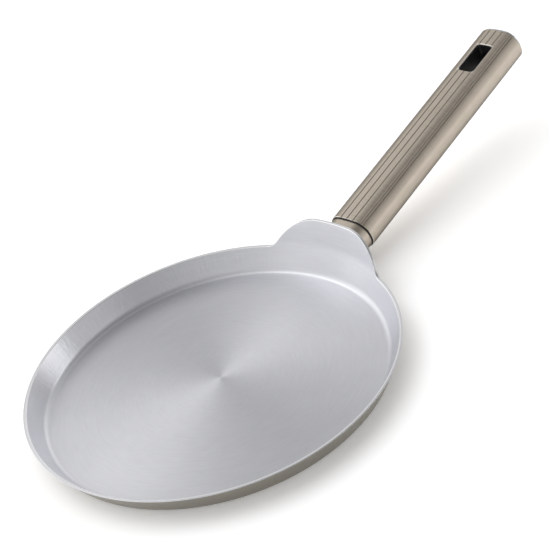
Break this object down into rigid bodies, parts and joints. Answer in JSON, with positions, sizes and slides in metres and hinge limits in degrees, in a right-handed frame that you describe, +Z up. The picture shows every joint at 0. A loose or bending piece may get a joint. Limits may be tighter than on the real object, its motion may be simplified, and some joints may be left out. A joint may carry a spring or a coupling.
{
  "type": "crepe pan",
  "caption": "Shallow flared crepe pan whose wall rises into a rounded tab, with an inclined grooved grip that has a bevelled hang slot.",
  "frame": {"origin": "on the dish's axis, at the middle of its flat underside", "axes": "+Z up along the dish's axis, +X horizontally from the dish's axis towards the handle's tip, +Y to the left as seen from the dish along the handle"},
  "size_m": [0.4447, 0.24, 0.0669],
  "materials": {
    "dish_steel": "brushed in rings inside and along the rim, champagne coating outside",
    "champagne_aluminium": "satin champagne, fine grain across the handle",
    "champagne_ferrule": "satin champagne coating",
    "black_moulding": "moulded, fine matte texture",
    "polished_cap": "mirror polish",
    "plated_steel": "zinc plated"
  },
  "bodies": {
    "root": {"pan_body": "dish_steel", "handle_bracket": "plated_steel", "handle_collar": "champagne_ferrule", "heat_ring": "black_moulding", "handle_shell": "champagne_aluminium", "socket_insert": "black_moulding", "slot_insert": "black_moulding", "weld_nut": "plated_steel", "tie_screw": "plated_steel", "plain_washer": "plated_steel", "lock_washer": "plated_steel", "end_cap": "polished_cap"}
  },
  "joints": []
}
